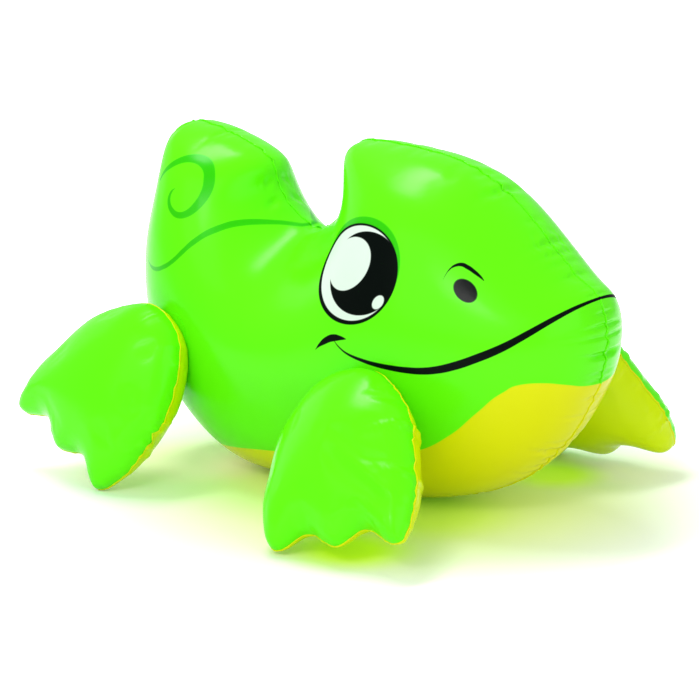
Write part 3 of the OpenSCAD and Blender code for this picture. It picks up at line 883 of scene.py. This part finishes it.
class TOY_OT_flippers(bpy.types.Operator):
    """Make the four flippers: outer film, inner film and seam of each"""

    bl_idname = "toy.flippers"
    bl_label = "Flippers"

    def execute(self, context):
        sizes, colours = context.scene.toy_sizes, context.scene.toy_colours
        green = film_of("green_film", colours.green)
        yellow = film_of("yellow_film", colours.yellow)
        # Painted light through the green outer film, on the yellow inner films.
        through_lit_yellow = film_of("through_lit_yellow_film", colours.through_lit_yellow)
        width = body_width(body_pillow(BODY_GRID_COARSE))
        gap = sizes.film + BODY_GAP

        def body_side(points):
            """How far out the body's side and the gap reach at the points, and 0 beyond the body."""
            limit = width(points[:, [0, 2]]) + gap
            return np.where(limit <= gap, 0, limit)

        for place in PLACES:
            end_name, side_name = place.split("_")
            side = -1 if side_name == "right" else 1
            pillow = flipper_pillow(place)
            height = pillow.thickness()
            outer_node = node_points(f"{place}_outer_panel")
            full = ((outer_node - pillow.origin) @ pillow.axes[2]).max() - pillow.seam_half
            low, high = pillow.outline[:, 1].min(), pillow.outline[:, 1].max()
            share = (pillow.flat[..., 1:] - low) / (high - low)
            toes = np.clip((share - TOES_START) / (1 - TOES_START), 0, 1)
            inner_fill = INNER_FILL - TOES_FLATTER[side_name] * toes
            smooth = pillow.raised(OUTER_FILL * height * full / height.max(), inner_fill)
            calm = CALM.get(place, 1.0)
            rows = [(a if side > 0 else 1 - a, b, calm * force) for a, b, force in FLIPPER_GATHERS]
            points = gathered(pillow, smooth, sizes, FLIPPER_SEEDS[end_name], rows)
            if place == "front_right":
                mirrored = [((1 - a, b), (1 - c, d), *rest) for (a, b), (c, d), *rest in FOLDS]
                points = folded(pillow, points, mirrored)
            limit = body_side(points)
            pressed = points[:, 1] * side < limit
            held = np.union1d(pillow.rim, np.nonzero(pressed)[0])
            points[pressed, 1] = side * limit[pressed]
            points = settled(points, pillow.faces(), held, sizes)
            points[:, 1] = side * np.maximum(points[:, 1] * side, body_side(points))
            points[:, 2] = np.maximum(points[:, 2], FLOOR_GAP)
            bead = seam_bead(f"{place}_seam_bead", points[pillow.rim], sizes.seam, yellow)
            outer = film_piece(
                f"{place}_outer_film", points, pillow.quads(pillow.index, False), green, sizes.film)
            inner = film_piece(
                f"{place}_inner_film", points, pillow.quads(pillow.back, True), through_lit_yellow, sizes.film)
            for piece, node, slot in (
                    (outer, "outer_panel", "green_vinyl"), (inner, "inner_panel", "yellow_vinyl"),
                    (bead, "seam", "yellow_vinyl")):
                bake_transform(piece)
                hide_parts(f"{place}_{node}")
        return {"FINISHED"}


class TOY_OT_welds(bpy.types.Operator):
    """Give the round welds of the flippers their finish"""

    bl_idname = "toy.welds"
    bl_label = "Welds"

    def execute(self, context):
        green = film_of("green_film", context.scene.toy_colours.green)
        for place in PLACES:
            node = frame["nodes"][f"{place}_weld"]
            node.data.materials.clear()
            node.data.materials.append(green)
        return {"FINISHED"}


class TOY_OT_valve(bpy.types.Operator):
    """Give the valve its soft clear vinyl"""

    bl_idname = "toy.valve"
    bl_label = "Valve"

    def execute(self, context):
        finish = Finish("valve_vinyl")
        material = finish.vinyl(tuple(context.scene.toy_colours.valve), VALVE_ROUGHNESS)
        finish.into("Transmission Weight", VALVE_CLEARNESS)
        for name in ("valve_base", "valve_stem", "valve_flap", "valve_plug"):
            node = frame["nodes"][name]
            node.data.materials.clear()
            node.data.materials.append(material)
        return {"FINISHED"}


class TOY_OT_stage(bpy.types.Operator):
    """Make the floor, the light and the camera"""

    bl_idname = "toy.stage"
    bl_label = "Stage"

    def execute(self, context):
        scene = context.scene
        finish = Finish("white_floor")
        away = (finish.x * finish.x + finish.y * finish.y).math("SQRT")
        # Painted light: near the toy the floor is tinted yellow-green and glows green, and far off it is plain
        # with a white backdrop glow.
        floor_and_painted_light = finish.mix((away - FLOOR_PAINTED_LIGHT_EDGE[0]).within(FLOOR_PAINTED_LIGHT_EDGE[1]), FLOOR_PAINTED_LIGHT, FLOOR_FAR)
        backdrop_and_painted_glow = finish.mix((away - GLOW_PAINTED_LIGHT_EDGE[0]).within(GLOW_PAINTED_LIGHT_EDGE[1]), GLOW_PAINTED_LIGHT, GLOW_FAR)
        # Painted light: spots of tint and glow on the floor near the toy.
        for x, y, radius, painted_colour, painted_glow in PAINTED_LIGHT_SPOTS:
            dx, dy = finish.x - x, finish.y - y
            painted_spot = (radius - (dx * dx + dy * dy).math("SQRT")).within(PAINTED_LIGHT_SOFTNESS * radius)
            floor_and_painted_light, backdrop_and_painted_glow = finish.mix(painted_spot, floor_and_painted_light, painted_colour), finish.mix(painted_spot, backdrop_and_painted_glow, painted_glow)
        finish.into("Base Color", floor_and_painted_light)
        finish.into("Roughness", 0.9)
        finish.into("Specular IOR Level", 0.1)
        camera_ray, glossy_ray, through_ray = (
            finish.node("ShaderNodeLightPath", output=f"Is {kind} Ray")
            for kind in ("Camera", "Glossy", "Transmission"))
        seen = camera_ray + glossy_ray + through_ray
        # The glow is the white backdrop far off and painted light near the toy.
        finish.into("Emission Color", finish.mix(seen, (0, 0, 0), backdrop_and_painted_glow))
        finish.into("Emission Strength", 1.0)
        r = FLOOR_REACH
        corners = np.array([(-r, -r, 0), (r, -r, 0), (r, r, 0), (-r, r, 0)])
        floor = shown("floor", mesh_of("floor", corners, np.array([(0, 1, 2, 3)])), finish.material)
        world = scene.world or bpy.data.worlds.new("studio")
        scene.world = world
        world.use_nodes = True
        sky = world.node_tree.nodes["Background"]
        sky.inputs["Color"].default_value = (1.0, 1.0, 1.0, 1.0)
        sky.inputs["Strength"].default_value = WORLD_LIGHT
        for name, way, distance, width, depth, power in LAMPS:
            lamp = bpy.data.lights.new(name, "AREA")
            lamp.shape = "RECTANGLE"
            lamp.size, lamp.size_y = width, depth
            lamp.energy = power
            box = bpy.data.objects.new(name, lamp)
            scene.collection.objects.link(box)
            box.location = MIDDLE + Vector(way).normalized() * distance
            box.rotation_euler = (MIDDLE - box.location).to_track_quat("-Z", "Y").to_euler()
        turn, tilt = math.radians(CAMERA_TURN), math.radians(CAMERA_TILT)
        right = Vector((math.cos(turn), math.sin(turn), 0.0))
        ahead = Vector((-math.sin(turn) * math.cos(tilt), math.cos(turn) * math.cos(tilt), -math.sin(tilt)))
        up = right.cross(ahead)
        lens = bpy.data.cameras.new("camera")
        lens.lens = FOCAL / PICTURE * SENSOR
        lens.sensor_width = SENSOR
        lens.dof.use_dof = False
        camera = bpy.data.objects.new("camera", lens)
        scene.collection.objects.link(camera)
        camera.location = MIDDLE - ahead * CAMERA_AWAY
        aim = ahead * FOCAL - right * SHIFT_RIGHT - up * SHIFT_UP
        camera.rotation_euler = aim.to_track_quat("-Z", "Y").to_euler()
        scene.camera = camera
        scene.view_settings.view_transform = "Standard"
        return {"FINISHED"}


class TOY_PT_panel(bpy.types.Panel):
    """Sizes, colours and steps of the pool animal"""

    bl_idname = "TOY_PT_panel"
    bl_label = "Pool animal"
    bl_space_type = "VIEW_3D"
    bl_region_type = "UI"
    bl_category = "Pool animal"

    def draw(self, context):
        for group in (context.scene.toy_sizes, context.scene.toy_colours):
            for name in group.__annotations__:
                self.layout.prop(group, name)
        for step in STEPS:
            self.layout.operator(step.bl_idname)


STEPS = (TOY_OT_body, TOY_OT_flippers, TOY_OT_welds, TOY_OT_valve, TOY_OT_stage)
CLASSES = (FilmSizes, FilmColours, *STEPS, TOY_PT_panel)


def register():
    for made in CLASSES:
        bpy.utils.register_class(made)
    bpy.types.Scene.toy_sizes = bpy.props.PointerProperty(type=FilmSizes)
    bpy.types.Scene.toy_colours = bpy.props.PointerProperty(type=FilmColours)


def unregister():
    del bpy.types.Scene.toy_sizes
    del bpy.types.Scene.toy_colours
    for made in reversed(CLASSES):
        bpy.utils.unregister_class(made)


def main():
    register()
    bpy.ops.toy.body()
    bpy.ops.toy.flippers()
    bpy.ops.toy.welds()
    bpy.ops.toy.valve()
    bpy.ops.toy.stage()


if __name__ == "__main__":
    main()
